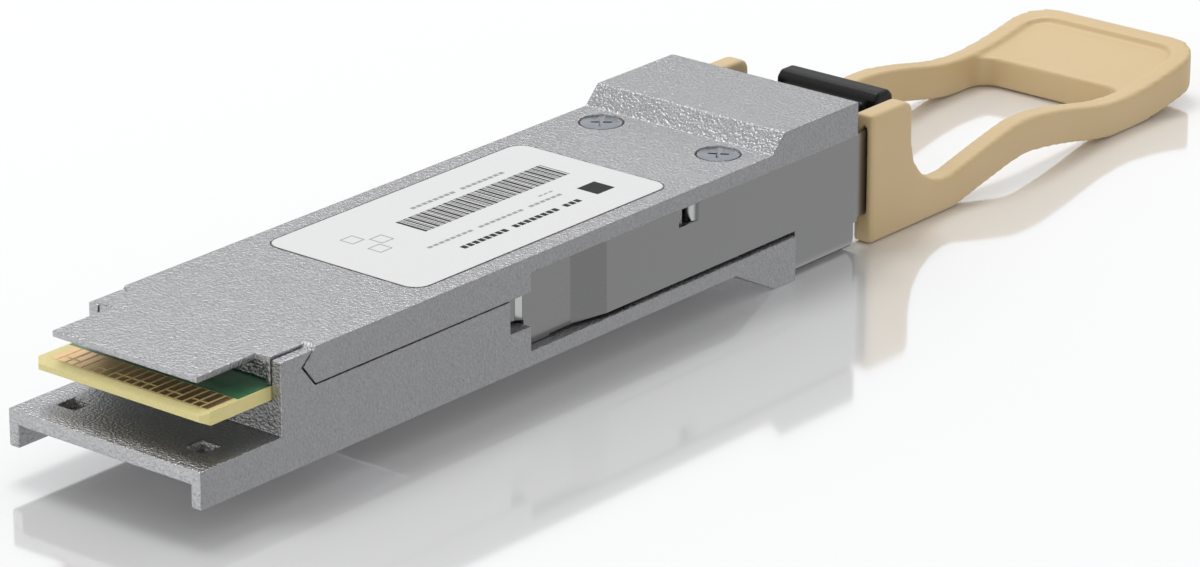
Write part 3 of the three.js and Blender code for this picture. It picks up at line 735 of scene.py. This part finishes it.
def make_strips():
    """Plain dashes where a real label has lines of text."""
    groups = {"black_ink": bmesh.new(), "grey_ink": bmesh.new()}
    for x0, x1, y0, y1, ink in STRIPS:
        count = round((y1 - y0) / DASH["pitch"])
        pitch = (y1 - y0) / count
        for i in range(count):
            if i % (DASH["word"] + 1) == DASH["word"]:
                continue
            y = y0 + i * pitch
            across = x0 + DASH["inset"], x1 - DASH["inset"]
            ink_slab(groups[ink], *across, y + DASH["gap"], y + pitch - DASH["gap"])
    print_piece("label_dashes_dark", groups["black_ink"], BLACK_INK)
    print_piece("label_dashes_light", groups["grey_ink"], GREY_INK)


def make_squares():
    """Small open squares and one solid patch, in place of the marks on a real label."""
    line = 0.09
    size = 1.3
    bm = bmesh.new()
    for x, y in SQUARES:
        ink_slab(bm, x, x + size, y, y + line)
        ink_slab(bm, x, x + size, y + size - line, y + size)
        ink_slab(bm, x, x + line, y + line, y + size - line)
        ink_slab(bm, x + size - line, x + size, y + line, y + size - line)
    print_piece("label_squares", bm, GREY_INK)
    patch = bmesh.new()
    ink_slab(patch, *PATCH)
    print_piece("label_patch", patch, BLACK_INK)


def make_label_print():
    make_bars()
    make_strips()
    make_squares()


# ------------------------------------------------------------------ return springs

SPRING_TURNS = 9
SPRING_WIRE = 0.1


def spring_mesh(name, low, high):
    """A round-wire coil along y at an even pitch, its wire capped at both ends."""
    centre = (low + high) / 2 / MM
    radius = (high.x - low.x) / 2 / MM - SPRING_WIRE
    start = low.y / MM + SPRING_WIRE
    length = (high.y - low.y) / MM - 2 * SPRING_WIRE
    per_turn = 28
    sides = 10
    steps = SPRING_TURNS * per_turn
    bm = bmesh.new()
    rings = []
    for i in range(steps + 1):
        t = i / steps
        turn = 2 * math.pi * SPRING_TURNS * t
        out = Vector((math.cos(turn), 0, math.sin(turn)))
        spot = Vector((centre.x, start + length * t, centre.z)) + out * radius
        ring = []
        for k in range(sides):
            angle = 2 * math.pi * k / sides
            push = out * math.cos(angle) + Vector((0, 1, 0)) * math.sin(angle)
            ring.append(bm.verts.new(spot + push * SPRING_WIRE))
        rings.append(ring)
    for first, second in zip(rings, rings[1:]):
        for k in range(sides):
            j = (k + 1) % sides
            bm.faces.new((first[k], first[j], second[j], second[k]))
    bm.faces.new(reversed(rings[0]))
    bm.faces.new(rings[-1])
    bmesh.ops.recalc_face_normals(bm, faces=bm.faces)
    return to_mesh(bm, name, 60)


def make_springs():
    """A coil on the housing in place of each return spring. In the module each spring shortens
    towards its fixed rear end as the slider is pulled back; this coil keeps its length.
    """
    for side in SIDES:
        node = f"return_spring_{side}"
        low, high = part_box(node)
        name = f"coil_spring_{side}"
        piece = new_piece(name, spring_mesh(name, low, high), "housing", "spring", node)
        finish_piece(piece, FINISH["spring"])
        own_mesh(piece)


# ------------------------------------------------------------------ fibre ends

FIBRE_COUNT = 12
FIBRE_PITCH = 0.25
FIBRE_RADIUS = 0.0625


def make_fibre_ends():
    """Twelve polished fibre tips, standing just proud of the ferrule's face."""
    z = (FERRULE_LOW.z + FERRULE_HIGH.z) / 2 / MM
    y = FERRULE_HIGH.y / MM
    bm = bmesh.new()
    for i in range(FIBRE_COUNT):
        x = FIBRE_PITCH * (i - (FIBRE_COUNT - 1) / 2)
        place = Matrix.Translation((x, y, z)) @ Matrix.Rotation(math.pi / 2, 4, "X")
        bmesh.ops.create_cone(
            bm,
            cap_ends=True,
            segments=20,
            radius1=FIBRE_RADIUS,
            radius2=FIBRE_RADIUS,
            depth=0.02,
            matrix=place,
        )
    name = "fibre_tips"
    finish_piece(new_piece(name, to_mesh(bm, name), "housing", "fibre"), GLASS_FIBRE)


# ------------------------------------------------------------------ studio

FLOOR_HALF = 4.0
FLOOR_TONE = 0.94
VIEW_AZIMUTH = math.radians(39.64)
VIEW_ELEVATION = math.radians(20.77)
VIEW_LENS = 165.45
CAMERA_PLACE = Vector((248.75, -307.83, 148.98)) * MM


def make_floor():
    mesh = bpy.data.meshes.new("floor")
    corners = [(-1, -1), (1, -1), (1, 1), (-1, 1)]
    mesh.from_pydata([(x * FLOOR_HALF, y * FLOOR_HALF, 0) for x, y in corners], [], [(0, 1, 2, 3)])
    floor = bpy.data.objects.new("floor", mesh)
    SCENE.collection.objects.link(floor)
    made, _, shader, _ = material("floor_gloss", grey(FLOOR_TONE), 0.08, 0.3)
    shader.inputs["Specular IOR Level"].default_value = 1.0
    mesh.materials.append(made)
    # The module's metals mirror the room and not the floor.
    floor.visible_glossy = False


def softbox(name, place, aim, size, radiance):
    """A rectangular soft light of a given brightness, aimed at a point."""
    data = bpy.data.lights.new(name, "AREA")
    data.shape = "RECTANGLE"
    data.size, data.size_y = size
    data.energy = radiance * math.pi * size[0] * size[1]
    lamp = bpy.data.objects.new(name, data)
    SCENE.collection.objects.link(lamp)
    lamp.location = place
    direction = Vector(aim) - Vector(place)
    lamp.rotation_euler = direction.to_track_quat("-Z", "Y").to_euler()


BRIGHT_SIDE = (-0.6, 0.75, 0.2)
DIM_LEVEL = 0.38
BRIGHT_LEVEL = 1.0
# Two glows and a shade. The shade stands in for the shadowed floor, which the module's
# underside would mirror if the metals could see the floor.
GLOWS = (
    {"side": (0.75, -0.63, -0.2), "start": 0.75, "full": 0.97, "level": 1.3},
    {"side": (-0.6, -0.72, -0.34), "start": 0.7, "full": 0.97, "level": 1.05},
    {"side": (-0.6, 0.7, -0.38), "start": 0.8, "full": 0.95, "level": -0.85},
)
KEY = {"place": (-0.3, 0.15, 0.88), "aim": (0, 0, 0), "size": (0.35, 0.35), "radiance": 9}
NOSE_FILL = {"place": (-0.25, -0.9, 0.35), "aim": (0, -0.05, 0), "size": (0.6, 0.4), "radiance": 1.6}


def facing(tree, direction, side, low, high):
    """A level that rises from low to high as the direction turns to face a side.
    Each of low and high is a pair: how squarely it faces, and the level there."""
    lean = tree.nodes.new("ShaderNodeVectorMath")
    lean.operation = "DOT_PRODUCT"
    lean.inputs[1].default_value = side
    level = tree.nodes.new("ShaderNodeMapRange")
    level.inputs["From Min"].default_value = low[0]
    level.inputs["From Max"].default_value = high[0]
    level.inputs["To Min"].default_value = low[1]
    level.inputs["To Max"].default_value = high[1]
    tree.links.new(direction, lean.inputs[0])
    tree.links.new(lean.outputs["Value"], level.inputs["Value"])
    return level.outputs["Result"]


def make_room():
    """A soft room, bright behind and left of the module, with low glows in front of it."""
    world = bpy.data.worlds.new("studio")
    world.use_nodes = True
    tree = world.node_tree
    background = tree.nodes["Background"]
    background.inputs["Color"].default_value = (0.985, 0.99, 1, 1)
    direction = tree.nodes.new("ShaderNodeTexCoord").outputs["Generated"]
    room = facing(tree, direction, BRIGHT_SIDE, (-0.7, DIM_LEVEL), (1, BRIGHT_LEVEL))
    for glow in GLOWS:
        start = glow["start"], 0
        full = glow["full"], glow["level"]
        glow_level = facing(tree, direction, glow["side"], start, full)
        total = tree.nodes.new("ShaderNodeMath")
        total.operation = "ADD"
        tree.links.new(room, total.inputs[0])
        tree.links.new(glow_level, total.inputs[1])
        room = total.outputs["Value"]
    tree.links.new(room, background.inputs["Strength"])
    SCENE.world = world


def make_lights():
    make_room()
    softbox("key", **KEY)
    softbox("nose_fill", **NOSE_FILL)


def make_camera():
    data = bpy.data.cameras.new("camera")
    data.lens = VIEW_LENS
    data.sensor_width = 36
    data.clip_start = 0.01
    data.clip_end = 20
    camera = bpy.data.objects.new("camera", data)
    SCENE.collection.objects.link(camera)
    camera.location = CAMERA_PLACE
    camera.rotation_euler = (math.pi / 2 - VIEW_ELEVATION, 0, VIEW_AZIMUTH)
    SCENE.camera = camera


# ------------------------------------------------------------------ assembly

make_camera()
make_floor()
make_lights()
SCENE.view_settings.view_transform = "Standard"

make_shells()
make_slider()
make_soft_moulds()
make_screws()
make_card()
make_label_print()
make_springs()
make_fibre_ends()

# The CAD pieces that no Blender piece stands for show in the finish of their slot.
for node, piece in NODES.items():
    finish_piece(piece, FINISH[SLOT_OF_NODE[node]])
